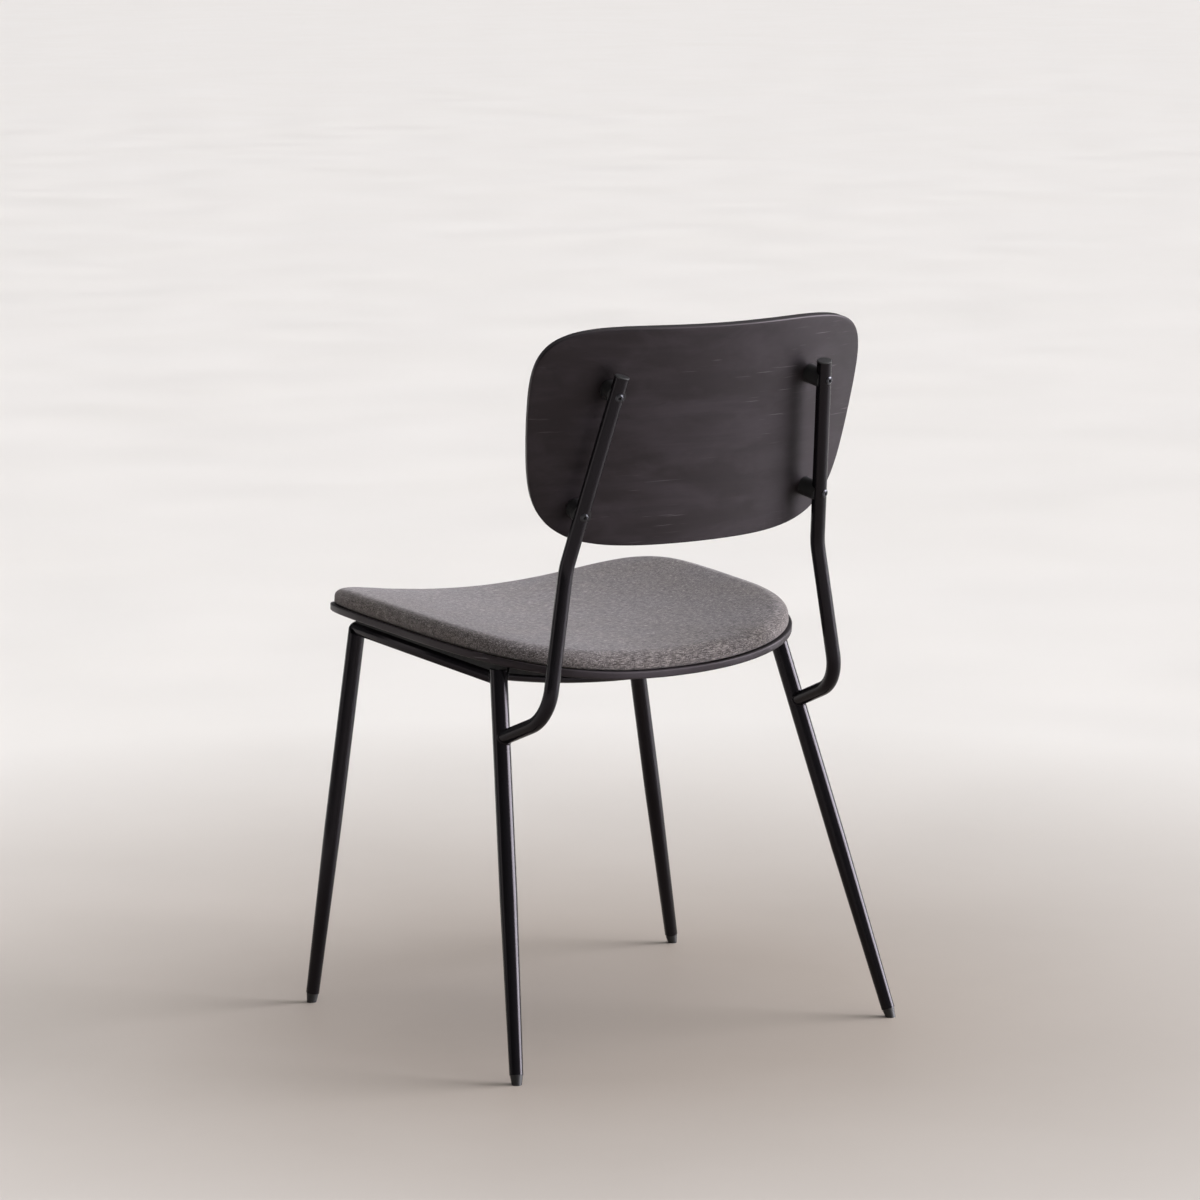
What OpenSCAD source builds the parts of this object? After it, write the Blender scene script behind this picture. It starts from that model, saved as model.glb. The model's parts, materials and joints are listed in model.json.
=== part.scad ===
// Upholstered dining chair: a tapered-leg steel tube frame, a moulded plywood seat
// with a fabric pad, and a curved plywood backrest on two bent uprights.
// X is across the chair (+X is the sitter's left), Y runs to the back, Z is up.
// The origin is on the floor at the middle of the chair's outer box.

/* [Legs] */
// Distance of each foot from the chair's middle plane
foot_x = 248; // [240:1:258]
// Front foot, in front of the origin
front_foot_y = 200; // [195:1:205]
// Rear foot, behind the origin
rear_foot_y = 219; // [214:1:224]
// Angle at which both side frames lean in towards the top
lean_in = 8.7; // [8.2:0.1:9.2]
// Angle at which the rear legs slope forward
rear_rake = 17.15; // [16.5:0.05:17.8]
// Outside diameter of a leg above its taper
leg_d = 19; // [18:0.5:20]
// Outside diameter of a leg at its lower end
leg_foot_d = 14.8; // [14:0.1:16]
// Height along the leg at which the taper starts
taper_top = 195; // [150:5:230]
// Wall thickness of every tube
tube_wall = 1.5; // [1.2:0.1:1.8]

/* [Feet] */
// Length of leg end that the glide holds off the floor
glide_h = 10; // [8:0.5:12]
// Diameter of the glide against the tube
glide_top_d = 13.6; // [13:0.1:14]
// Diameter of the glide at the floor
glide_floor_d = 10.6; // [9.5:0.1:12]

/* [Rails] */
// Height of the side rail's axis at the front leg, measured along the side frame
rail_front_w = 424.6; // [420:0.2:428]
// Angle at which the side rails fall towards the back
rail_fall = 2.48; // [2:0.02:3]
// Outside diameter of the side rails and uprights
rail_d = 16; // [15:0.5:17]
// Outside diameter of the bowed cross rails under the seat
cross_rail_d = 10.5; // [10:0.1:10.8]
// Distance of the front cross rail behind the front legs
front_rail_back = 30; // [22:1:50]
// Distance up the rear leg to the rear cross rail
rear_rail_s = 435; // [434:0.5:436]
// Height at which the rear legs are cut off level
leg_top_z = 417; // [416:0.2:418]

/* [Uprights] */
// Distance along the rear leg from the floor to the upright's weld
weld_s = 366.3; // [360:0.1:372]
// Angle at which the uprights lean in towards the top
upright_lean = 9.25; // [8.9:0.05:9.6]
// Rise angle of the short arm that leaves the leg
arm_rise = 22.6; // [18:0.2:26]
// Length of that arm, weld to bend
arm_len = 87.8; // [82:0.2:94]
// Angle of the lower upright from upright, forward positive
lower_forward = 1.4; // [0:0.1:3]
// Length of the lower upright, bend to bend
lower_len = 158.2; // [150:0.2:165]
// Angle at which the upper upright leans back
upper_back = 14.65; // [14:0.05:15.3]
// Length of the upper upright, bend to end
upper_len = 214.3; // [205:0.1:220]
// Centre-line radius of the lower bend
lower_bend_r = 46; // [38:1:54]
// Centre-line radius of the upper bend
upper_bend_r = 70; // [50:2:90]

/* [Seat] */
// Half of the seat shell's width at mid depth
seat_half_w = 228; // [222:1:234]
// Half of the seat shell's depth
seat_half_d = 206; // [202:1:208]
// How far the seat's centre lies in front of the origin
seat_forward = 44; // [40:1:48]
// Height of the shell's upper face at the seat's centre
seat_z = 419; // [418:0.5:422]
// Angle at which the seat falls towards the back
seat_fall = 2.58; // [2.2:0.02:3]
// Radius of the dish across the seat
dish_r = 943; // [900:5:1000]
// Thickness of the moulded plywood shell
shell_t = 8.5; // [7.5:0.5:9]
// Ledge of shell left bare around the pad
ledge = 4.5; // [3:0.5:7]
// Thickness of the whole pad
pad_t = 21; // [18:0.5:25]
// Thickness of the pad's base board
board_t = 3; // [2.5:0.5:4]
// Thickness of the fabric cover in the model
cover_t = 1.2; // [1:0.1:1.6]
// Gap between shell and rear cross rail, filled by a rubber strip
rear_gap = 6.3; // [5.8:0.1:6.8]
// Gap between shell and front cross rail, filled by a rubber strip
front_gap = 10.2; // [9.7:0.1:10.7]
// Width of the rubber strip between side rail and shell
strip_w = 10; // [7:0.5:10]
// Distance of the seat bolts from the middle, along the dish
seat_bolt_x = 110; // [90:5:130]

/* [Backrest] */
// Half of the backrest's width, measured along its curve
back_half_w = 211.6; // [205:0.2:218]
// Half of the backrest's height
back_half_h = 121.5; // [115:0.5:128]
// Height of the backrest's centre
back_z = 670; // [668:0.5:672]
// Backrest centre, behind the origin
back_y = 214.1; // [212:0.1:216]
// Angle at which the backrest leans back
back_lean = 13.26; // [12.8:0.02:13.8]
// Radius of the backrest's curve
back_r = 602; // [580:2:630]
// Thickness of the backrest
back_t = 10; // [9:0.5:11]
// Distance of the upper screw from the upright's top end
screw_from_top = 20.4; // [18:0.2:24]
// Distance between the two screws of one upright
screw_pitch = 133; // [128:1:138]
// Diameter of the round spacers between upright and backrest
spacer_d = 21; // [18:0.5:23]

/* [Hidden] */
$fn = 96;

LEFT = 1;
RIGHT = -1;
FRONT = 0;
REAR = 1;
UPPER = 0;
LOWER = 1;
steel = "#1d1c1e";
plastic = "#141416";
black_ply = "#242022";
far = 400;            // longer than any tube cut needs
large_fn = 720;       // facets of the very large radii

// ---- worked out from the driving dimensions ----
leg_bore = leg_d - 2 * tube_wall;
leg_foot_bore = leg_foot_d - 2 * tube_wall;
rail_bore = rail_d - 2 * tube_wall;
cross_rail_bore = cross_rail_d - 2 * tube_wall;
mitre_angle = (90 - rail_fall) / 2;
side_rail_len = (front_foot_y + rear_foot_y - rail_front_w * tan(rear_rake))
    / (cos(rail_fall) - sin(rail_fall) * tan(rear_rake));   // mitre corner to rear leg's axis
rear_leg_len = 446;                               // before the level cut
rear_bore_len = 435.5;                            // leaves the top closed
front_leg_len = rail_front_w + leg_d;             // cut back by the mitre
glide_stem_h = 18;
stem_clear = 0.1;                                 // a pressed-in part is thinner by this
end_clear = 0.3;                                  // and shorter by this

// Upright path in its own plane: u runs back, w runs up, from the weld point
arm_dir = arm_rise;
lower_dir = 90 + lower_forward;
upper_dir = 90 - upper_back;
function along(p, dir, s) = [p[0] + s * cos(dir), p[1] + s * sin(dir)];
u0 = [0, 0];
u1 = along(u0, arm_dir, arm_len);
u2 = along(u1, lower_dir, lower_len);
u3 = along(u2, upper_dir, upper_len);

// Weld point on the rear leg's axis
weld_point = [
    foot_x - weld_s * cos(rear_rake) * sin(lean_in),
    rear_foot_y - weld_s * sin(rear_rake),
    weld_s * cos(rear_rake) * cos(lean_in)
];
function upright_world(p) = [
    weld_point[0] - p[1] * sin(upright_lean),
    weld_point[1] + p[0],
    weld_point[2] + p[1] * cos(upright_lean)
];

// A point of the left upright, seen in the backrest's own frame
function in_back_frame(p) = [
    p[0],
    (p[1] - back_y) * cos(back_lean) - (p[2] - back_z) * sin(back_lean),
    (p[1] - back_y) * sin(back_lean) + (p[2] - back_z) * cos(back_lean)
];
function screw_s(level) = screw_from_top + (level == LOWER ? screw_pitch : 0);
function screw_at(level) = in_back_frame(upright_world(along(u3, upper_dir, -screw_s(level))));
function screw_turn(level) = atan2(screw_at(level)[0], screw_at(level)[1] + back_r);
function screw_reach(level) = norm([screw_at(level)[0], screw_at(level)[1] + back_r]) - back_r;

// Backrest screw: an oval-head M5 machine screw
screw_d = 4.9;
screw_hole_d = 5.4;
screw_head_d = 9.2;
screw_sink = (screw_head_d - screw_hole_d) / 2;
screw_dome_h = 0.8;
screw_dome_d = 6.2;
insert_d = 8;
insert_depth = 8;
insert_bore = 5;
socket_d = 3.6;
socket_h = 1.8;
cap_flange_h = 1.2;
cap_chamfer_h = 0.5;
cap_face_d = rail_d - 1.4;
cap_stem_h = 9;

// Seat bolt: a pan-head M6 bolt from below, into a tee nut
bolt_d = 5.9;
bolt_hole_d = 6.4;
bolt_head_d = 11;
bolt_head_h = 3.6;
bolt_socket_d = 4.6;
bolt_socket_h = 2;
tee_barrel_d = 8;
tee_bore = 6;
tee_flange_d = 17;
tee_flange_t = 1.4;
strip_start = 3;                                  // side strip begins behind the mitred corner
strip_past = 5;                                   // and ends past the rear leg's axis
cross_strip_w = 0.8 * cross_rail_d;
strip_reach = 18;                                 // above the rail's axis, before the shell cuts it

// Pad screw: a wood screw up through the shell into the pad's board
pad_screw_d = 3.9;
pad_screw_hole_d = 4.2;
pad_screw_head_d = 8;
pad_screw_face_d = 6;
pad_screw_head_h = 2.4;
board_pilot_d = 4;
board_inset = 3;                                  // foam wraps the board's rim by this much
pad_screw_y = 0.45 * seat_half_d;
bolt_turn = seat_bolt_x / dish_r * 180 / PI;

// Cross rails are arcs about the dish's axis; they end on the side rail's or leg's axis
seat_y = -seat_forward;
side_rail_w = rail_front_w - front_rail_back * tan(rail_fall);
function rail_gap(end) = end == REAR ? rear_gap : front_gap;
function cross_axis_r(end) = dish_r + shell_t + rail_gap(end) + cross_rail_d / 2;
function cross_rail_y(end) = ((end == REAR
    ? rear_foot_y - rear_rail_s * sin(rear_rake)
    : front_rail_back - front_foot_y) - seat_y) / cos(seat_fall);
function cross_rail_x(end) = foot_x
    - (end == REAR ? rear_rail_s * cos(rear_rake) : side_rail_w) * sin(lean_in);

// Outline shapes
seat_corner_front = 4.8;
seat_corner_rear = 3.1;
seat_taper = -0.0287;
back_corner_top = 5.13;
back_corner_bottom = 4.63;
back_taper = 0.0615;
back_belly = -0.0458;
outline_steps = 120;

// ---- placing ----
module on_side(side) {
    mirror([side == RIGHT ? 1 : 0, 0, 0]) children();
}

// Leg frame: local Z runs up the leg's axis from the floor
module on_leg(side, end) {
    on_side(side)
        translate([foot_x, end == REAR ? rear_foot_y : -front_foot_y, 0])
            rotate([end == REAR ? rear_rake : 0, -lean_in, 0]) children();
}

// Side frame plane: local X runs back from the origin, local Y runs up the frame
module in_side_frame(side) {
    on_side(side)
        translate([foot_x, 0, 0]) rotate([0, -lean_in, 0]) rotate([90, 0, 90]) children();
}

// Upright plane: local X runs back from the weld, local Y runs up
module in_upright_plane(side) {
    on_side(side)
        translate(weld_point) rotate([0, -upright_lean, 0]) rotate([90, 0, 90]) children();
}

// Seat frame: local Y runs back along the dish, local Z is square to it
module in_seat() {
    translate([0, seat_y, seat_z]) rotate([-seat_fall, 0, 0]) children();
}

// A point of the dish, with local Z square to the shell
module on_dish(side, y) {
    in_seat() translate([0, 0, dish_r]) rotate([0, -side * bolt_turn, 0])
        translate([0, y, -dish_r]) children();
}

module in_backrest() {
    translate([0, back_y, back_z]) rotate([-back_lean, 0, 0]) children();
}

// A backrest screw's axis: local Z points out of the back, from the panel's mid surface
module on_screw(side, level) {
    on_side(side) in_backrest()
        translate([0, -back_r, 0]) rotate([0, 0, -screw_turn(level)])
            translate([0, back_r, screw_at(level)[2]]) rotate([-90, 0, 0]) children();
}

// ---- shared shapes ----
function signed_pow(v, e) = sign(v) * pow(abs(v), e);

// Rounded outline whose corners are set by two exponents, with a taper and a belly
function rounded_outline(a, b, n_far, n_near, taper, belly) = [
    for (i = [0 : outline_steps - 1])
        let (
            t = 360 * i / outline_steps,
            n = sin(t) >= 0 ? n_far : n_near,
            px = signed_pow(cos(t), 2 / n),
            py = signed_pow(sin(t), 2 / n)
        )
        [a * px * (1 + taper * py + belly * py * py), b * py]
];

module seat_outline(inset) {
    polygon(rounded_outline(seat_half_w - inset, seat_half_d - inset,
        seat_corner_rear, seat_corner_front, seat_taper, 0));
}

// Half of the backrest, its rim cut square to the curve: the outline is laid out
// along the curve and pushed through in the direction square to the side edge
module backrest_half(side) {
    edge_turn = back_half_w / back_r * 180 / PI;
    outline = rounded_outline(back_half_w, back_half_h,
        back_corner_top, back_corner_bottom, back_taper, back_belly);
    on_side(side) intersection() {
        translate([0, -back_r, 0]) rotate([0, 0, -edge_turn])
            translate([0, back_r + 2 * back_t, 0]) rotate([90, 0, 0]) linear_extrude(far / 4)
                polygon([for (p = outline) [back_r * sin(p[0] / back_r * 180 / PI - edge_turn), p[1]]]);
        translate([0, -far / 2, -far / 2]) cube([far, far, far]);
    }
}

// A curved sheet of the dish, from z_low to z_high above the shell's upper face
module dish_layer(inset, z_low, z_high) {
    in_seat() intersection() {
        translate([0, 0, -30]) linear_extrude(120) seat_outline(inset);
        translate([0, 0, dish_r]) rotate([90, 0, 0]) difference() {
            cylinder(r = dish_r - z_low, h = 3 * seat_half_d, center = true, $fn = large_fn);
            cylinder(r = dish_r - z_high, h = 4 * seat_half_d, center = true, $fn = large_fn);
        }
    }
}

// Straight tube from point a for length s in direction dir, in the local XY plane
module tube_run(a, dir, s, d) {
    translate([a[0], a[1], 0]) rotate([0, 0, dir]) rotate([0, 90, 0]) cylinder(h = s, d = d);
}

// Bend of radius r that starts at point a in direction dir and turns by angle turn
module tube_bend(a, dir, turn, r, d) {
    side = sign(turn);
    centre = [a[0] - side * r * sin(dir), a[1] + side * r * cos(dir)];
    translate([centre[0], centre[1], 0]) rotate([0, 0, dir - side * 90 - (side < 0 ? -turn : 0)])
        rotate_extrude(angle = abs(turn)) translate([r, 0]) circle(d = d);
}

module upright_path(d, extra) {
    turn_1 = lower_dir - arm_dir;
    turn_2 = upper_dir - lower_dir;
    t1 = lower_bend_r * tan(abs(turn_1) / 2);
    t2 = upper_bend_r * tan(abs(turn_2) / 2);
    tube_run(u0, arm_dir, arm_len - t1, d);
    tube_bend(along(u1, arm_dir, -t1), arm_dir, turn_1, lower_bend_r, d);
    tube_run(along(u1, lower_dir, t1), lower_dir, lower_len - t1 - t2, d);
    tube_bend(along(u2, lower_dir, -t2), lower_dir, turn_2, upper_bend_r, d);
    tube_run(along(u2, upper_dir, t2), upper_dir, upper_len - t2 + extra, d);
}

module leg_solid(len, d_low, d_high) {
    translate([0, 0, glide_h]) cylinder(h = taper_top - glide_h, d1 = d_low, d2 = d_high);
    translate([0, 0, taper_top]) cylinder(h = len - taper_top, d = d_high);
}

// Straight part of a leg, run on past its top, for coping other tubes to it
module leg_shank() {
    translate([0, 0, taper_top]) cylinder(h = far, d = leg_d);
}

module leg_tube(len, bore_len) {
    difference() {
        leg_solid(len, leg_foot_d, leg_d);
        translate([0, 0, glide_h - 1]) cylinder(h = 2, d = leg_foot_bore);
        leg_solid(bore_len, leg_foot_bore, leg_bore);
    }
}

// Half space on one side of the mitre between front leg and side rail
module mitre_block(keep_rail) {
    translate([-front_foot_y, rail_front_w, 0]) rotate([0, 0, mitre_angle])
        translate([keep_rail ? -far : 0, -far / 2, -far / 2]) cube([far, far, far]);
}

// ---- frame ----
module leg_front(side) {
    color(steel) difference() {
        on_leg(side, FRONT) leg_tube(front_leg_len, front_leg_len + 1);
        in_side_frame(side) mitre_block(false);
    }
}

// Cuts off what lies above the level tops of the rear legs
module level_cut() {
    difference() {
        children();
        translate([-far, -far, leg_top_z]) cube([2 * far, 2 * far, 2 * far]);
    }
}

module leg_rear(side) {
    color(steel) level_cut() on_leg(side, REAR) leg_tube(rear_leg_len, rear_bore_len);
}

// The rail starts before the mitre and ends on the rear leg's axis, inside the leg
module side_rail_run(side, d) {
    start = along([-front_foot_y, rail_front_w], -rail_fall, -rail_d);
    in_side_frame(side) tube_run(start, -rail_fall, side_rail_len + rail_d, d);
}

module side_rail(side) {
    color(steel) difference() {
        side_rail_run(side, rail_d);
        side_rail_run(side, rail_bore);
        in_side_frame(side) mitre_block(true);
        on_leg(side, REAR) leg_shank();
    }
}

// Arc of a cross rail: both ends lie inside the tubes it is welded to
module cross_rail_solid(end, d) {
    turn = asin(cross_rail_x(end) / cross_axis_r(end));
    in_seat() translate([0, cross_rail_y(end), dish_r])
        rotate([90, 0, 0]) rotate([0, 0, -90 - turn])
            rotate_extrude(angle = 2 * turn, $fn = large_fn)
                translate([cross_axis_r(end), 0]) rotate(90) circle(d = d);
}

module cross_rail(end) {
    color(steel) difference() {
        cross_rail_solid(end, cross_rail_d);
        cross_rail_solid(end, cross_rail_bore);
        for (side = [LEFT, RIGHT]) {
            if (end == REAR) on_leg(side, REAR) leg_shank();
            else side_rail_run(side, rail_d);
            on_dish(side, cross_rail_y(end)) bolt_hole();
        }
    }
}

module bolt_hole() {
    translate([0, 0, -far / 4]) cylinder(h = far / 4, d = bolt_hole_d);
}

module upright(side) {
    color(steel) difference() {
        in_upright_plane(side) difference() {
            upright_path(rail_d, 0);
            upright_path(rail_bore, 1);
        }
        on_leg(side, REAR) leg_shank();
        for (level = [UPPER, LOWER])
            on_screw(side, level) {
                cylinder(h = far / 4, d = screw_hole_d);
                translate([0, 0, screw_reach(level) + rail_d / 2 - screw_sink])
                    cylinder(h = screw_sink, d1 = screw_hole_d, d2 = screw_head_d);
            }
    }
}

module upright_cap(side) {
    band_h = cap_flange_h - cap_chamfer_h;
    color(plastic) in_upright_plane(side)
        translate([u3[0], u3[1], 0]) rotate([0, 0, upper_dir]) rotate([0, 90, 0]) {
            cylinder(h = band_h, d = rail_d);
            translate([0, 0, band_h]) cylinder(h = cap_chamfer_h, d1 = rail_d, d2 = cap_face_d);
            translate([0, 0, -cap_stem_h]) cylinder(h = cap_stem_h, d = rail_bore - stem_clear);
        }
}

module glide(side, end) {
    color(plastic) difference() {
        on_leg(side, end) {
            translate([0, 0, -glide_h])
                cylinder(h = 2 * glide_h, d1 = 2 * glide_floor_d - glide_top_d, d2 = glide_top_d);
            translate([0, 0, glide_h]) cylinder(h = glide_stem_h, d = leg_foot_bore - stem_clear);
        }
        translate([-far, -far, -far]) cube([2 * far, 2 * far, far]);
    }
}

// ---- seat ----
module each_seat_bolt() {
    for (side = [LEFT, RIGHT], end = [FRONT, REAR]) on_dish(side, cross_rail_y(end)) children();
}

module each_pad_screw() {
    for (side = [LEFT, RIGHT], y = [-pad_screw_y, pad_screw_y]) on_dish(side, y) children();
}

module seat_shell() {
    color(black_ply) difference() {
        dish_layer(0, -shell_t, 0);
        each_seat_bolt() {
            translate([0, 0, -far / 4]) cylinder(h = far / 4, d = tee_barrel_d);
            translate([0, 0, -tee_flange_t]) cylinder(h = far / 4, d = tee_flange_d);
        }
        each_pad_screw() translate([0, 0, -far / 4]) cylinder(h = far / 2, d = pad_screw_hole_d);
    }
}

module seat_pad_board() {
    color("#b99b6f") difference() {
        dish_layer(ledge + cover_t + board_inset, 0, board_t);
        each_pad_screw() translate([0, 0, -board_t]) cylinder(h = 3 * board_t, d = board_pilot_d);
    }
}

module seat_foam() {
    color("#d8cfa8") dish_layer(ledge + cover_t, board_t, pad_t - cover_t);
}

module seat_cover() {
    color("#6d6668") difference() {
        dish_layer(ledge, 0, pad_t);
        dish_layer(ledge + cover_t, -1, pad_t - cover_t);
    }
}

// Strip lying on a side rail and on the rear leg's top: fills the gap up to the shell
module side_strip(side) {
    strip_len = side_rail_len - strip_start + strip_past;
    start = along([-front_foot_y, rail_front_w], -rail_fall, strip_start);
    color(plastic) difference() {
        in_side_frame(side) translate([start[0], start[1], -strip_w / 2])
            rotate([0, 0, -rail_fall]) cube([strip_len, strip_reach, strip_w]);
        side_rail_run(side, rail_d);
        level_cut() on_leg(side, REAR) leg_shank();
        dish_layer(-far / 10, -shell_t, 2 * shell_t);
    }
}

// Strip lying on a cross rail: fills the gap up to the shell
module cross_strip(end) {
    shell_r = dish_r + shell_t;
    weld_r = (end == REAR ? leg_d : rail_d) / 2;
    turn = asin((cross_rail_x(end) - weld_r) / cross_axis_r(end));
    color(plastic) difference() {
        in_seat() translate([0, cross_rail_y(end), dish_r])
            rotate([90, 0, 0]) rotate([0, 0, -90 - turn])
                rotate_extrude(angle = 2 * turn, $fn = large_fn)
                    translate([shell_r, -cross_strip_w / 2])
                        square([cross_axis_r(end) - shell_r, cross_strip_w]);
        cross_rail_solid(end, cross_rail_d);
        for (side = [LEFT, RIGHT]) {
            if (end == REAR) level_cut() on_leg(side, REAR) leg_shank();
            else side_rail_run(side, rail_d);
            on_dish(side, cross_rail_y(end)) bolt_hole();
        }
    }
}

module seat_bolts() {
    color("#3a3a3c") for (side = [LEFT, RIGHT], end = [FRONT, REAR]) {
        head_z = -(shell_t + rail_gap(end) + cross_rail_d);
        on_dish(side, cross_rail_y(end)) {
            translate([0, 0, head_z]) cylinder(h = -head_z - tee_flange_t, d = bolt_d);
            difference() {
                translate([0, 0, head_z - bolt_head_h]) cylinder(h = bolt_head_h, d = bolt_head_d);
                translate([0, 0, head_z - bolt_head_h])
                    cylinder(h = bolt_socket_h, d = bolt_socket_d, $fn = 6);
            }
        }
    }
}

module seat_tee_nuts() {
    barrel_h = shell_t - tee_flange_t - end_clear;
    color("#9c9c9e") each_seat_bolt() difference() {
        union() {
            translate([0, 0, -tee_flange_t])
                cylinder(h = tee_flange_t - stem_clear, d = tee_flange_d - stem_clear);
            translate([0, 0, end_clear - shell_t]) cylinder(h = barrel_h, d = tee_barrel_d - stem_clear);
        }
        translate([0, 0, -2 * shell_t]) cylinder(h = 4 * shell_t, d = tee_bore);
    }
}

module pad_screws() {
    color("#77777a") each_pad_screw() {
        translate([0, 0, -shell_t - pad_screw_head_h])
            cylinder(h = pad_screw_head_h, d1 = pad_screw_face_d, d2 = pad_screw_head_d);
        translate([0, 0, -shell_t]) cylinder(h = shell_t + board_t - end_clear, d = pad_screw_d);
    }
}

// ---- backrest ----
module each_back_screw() {
    for (side = [LEFT, RIGHT], level = [UPPER, LOWER]) on_screw(side, level) children();
}

module backrest_layer(outer, inner) {
    translate([0, -back_r, -back_half_h]) difference() {
        cylinder(r = back_r + outer, h = 2 * back_half_h, $fn = large_fn);
        translate([0, 0, -1]) cylinder(r = back_r - inner, h = 2 * back_half_h + 2, $fn = large_fn);
    }
}

module backrest_panel() {
    color(black_ply) difference() {
        in_backrest() intersection() {
            union() {
                backrest_half(LEFT);
                backrest_half(RIGHT);
            }
            backrest_layer(back_t / 2, back_t / 2);
        }
        each_back_screw() translate([0, 0, back_t / 2 - insert_depth])
            cylinder(h = far / 10, d = insert_d);
    }
}

module backrest_spacer(side, level) {
    color(plastic) difference() {
        on_screw(side, level) cylinder(h = screw_reach(level), d = spacer_d);
        in_backrest() backrest_layer(back_t / 2, back_t);
        in_upright_plane(side) upright_path(rail_d, 0);
        on_screw(side, level) cylinder(h = far / 4, d = screw_hole_d);
    }
}

module backrest_screws() {
    color("#3a3a3c") for (side = [LEFT, RIGHT], level = [UPPER, LOWER]) {
        head_top = screw_reach(level) + rail_d / 2;
        shank_low = back_t / 2 - insert_depth + end_clear;
        on_screw(side, level) difference() {
            union() {
                translate([0, 0, shank_low])
                    cylinder(h = head_top - screw_sink - shank_low, d = screw_d);
                translate([0, 0, head_top - screw_sink])
                    cylinder(h = screw_sink, d1 = screw_d, d2 = screw_head_d - stem_clear);
                translate([0, 0, head_top])
                    cylinder(h = screw_dome_h, d1 = screw_head_d - stem_clear, d2 = screw_dome_d);
            }
            translate([0, 0, head_top + screw_dome_h - socket_h])
                cylinder(h = 2 * socket_h, d = socket_d, $fn = 6);
        }
    }
}

module backrest_inserts() {
    color("#a58b52") each_back_screw() translate([0, 0, back_t / 2 - insert_depth])
        difference() {
            cylinder(h = insert_depth - end_clear, d = insert_d - stem_clear);
            translate([0, 0, -1]) cylinder(h = insert_depth + 2, d = insert_bore);
        }
}

leg_front(LEFT);  // leg_front_left
leg_front(RIGHT);  // leg_front_right
leg_rear(LEFT);  // leg_rear_left
leg_rear(RIGHT);  // leg_rear_right
glide(LEFT, FRONT);  // glide_front_left
glide(RIGHT, FRONT);  // glide_front_right
glide(LEFT, REAR);  // glide_rear_left
glide(RIGHT, REAR);  // glide_rear_right
side_rail(LEFT);  // side_rail_left
side_rail(RIGHT);  // side_rail_right
cross_rail(FRONT);  // cross_rail_front
cross_rail(REAR);  // cross_rail_rear
upright(LEFT);  // upright_left
upright(RIGHT);  // upright_right
upright_cap(LEFT);  // upright_cap_left
upright_cap(RIGHT);  // upright_cap_right
seat_shell();
seat_pad_board();
seat_foam();
seat_cover();
side_strip(LEFT);  // seat_strip_left
side_strip(RIGHT);  // seat_strip_right
cross_strip(FRONT);  // seat_strip_front
cross_strip(REAR);  // seat_strip_rear
seat_bolts();
seat_tee_nuts();
pad_screws();
backrest_panel();
backrest_spacer(LEFT, UPPER);  // backrest_spacer_upper_left
backrest_spacer(RIGHT, UPPER);  // backrest_spacer_upper_right
backrest_spacer(LEFT, LOWER);  // backrest_spacer_lower_left
backrest_spacer(RIGHT, LOWER);  // backrest_spacer_lower_right
backrest_screws();
backrest_inserts();
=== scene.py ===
"""Looks of an upholstered dining chair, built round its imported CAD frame.

Everything is in metres, in the CAD frame: +X is the sitter's left, +Y the back, +Z up.
The uprights, rear legs, cross rails, glides, caps, spacers, strips and screws are the CAD nodes
with better materials. Each front leg and side rail get a ground weld at their shared corner, the
seat shell and backrest get softly rounded rims, and the pad is inflated as cloth.
"""

import json
import math

import bmesh
import bpy
from mathutils import Matrix, Vector
from mathutils.bvhtree import BVHTree
from mathutils.kdtree import KDTree


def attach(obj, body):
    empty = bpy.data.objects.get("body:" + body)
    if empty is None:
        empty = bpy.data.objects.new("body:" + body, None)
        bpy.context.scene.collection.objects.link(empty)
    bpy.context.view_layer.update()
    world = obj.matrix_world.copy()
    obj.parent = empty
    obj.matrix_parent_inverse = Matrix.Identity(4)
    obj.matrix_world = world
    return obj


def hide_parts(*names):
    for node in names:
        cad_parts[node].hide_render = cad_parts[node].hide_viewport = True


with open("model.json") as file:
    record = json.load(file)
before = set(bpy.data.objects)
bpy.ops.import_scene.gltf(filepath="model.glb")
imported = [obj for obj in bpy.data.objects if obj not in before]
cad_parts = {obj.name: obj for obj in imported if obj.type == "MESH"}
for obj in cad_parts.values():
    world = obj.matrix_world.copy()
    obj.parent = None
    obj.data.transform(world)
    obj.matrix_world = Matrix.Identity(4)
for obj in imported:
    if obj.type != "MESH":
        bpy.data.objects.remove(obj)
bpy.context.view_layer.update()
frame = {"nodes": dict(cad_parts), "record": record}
NODES = frame["nodes"]
SIDES = {"left": 1, "right": -1}

# ---------------------------------------------------------------- driving sizes
# Frame tubes, as in the CAD
FOOT_X = 0.248
FOOT_Y = {"front": -0.200, "rear": 0.219}
LEAN_IN = math.radians(8.7)           # legs and side rails lean towards the middle
RAKE = {"front": 0.0, "rear": math.radians(17.15)}
LEG_R = 0.0095
LEG_FOOT_R = 0.0074
GLIDE_H = 0.010
TAPER_TOP = 0.195                     # up the leg to where its taper ends
RAIL_R = 0.008                        # side rails and uprights
CROSS_R = 0.00525                     # cross rails
RAIL_FRONT_W = 0.4246                 # up the front leg's plane to the side rail's axis
RAIL_FALL = math.radians(2.48)        # side rails fall to the back
RAIL_LEN = 0.2919                     # mitre corner to just inside the rear leg
CORNER_R = 0.002                      # centre-line radius of the ground corner
REAR_RAIL_S = 0.435                   # up the rear leg to the rear cross rail
WELD_S = 0.3663                       # up the rear leg to the upright
UPRIGHT_LEAN = math.radians(9.25)
ARM_RISE = math.radians(22.6)         # the upright's lower arm, above level
BEAD_R = 0.00125                      # radius of a weld bead

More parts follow.
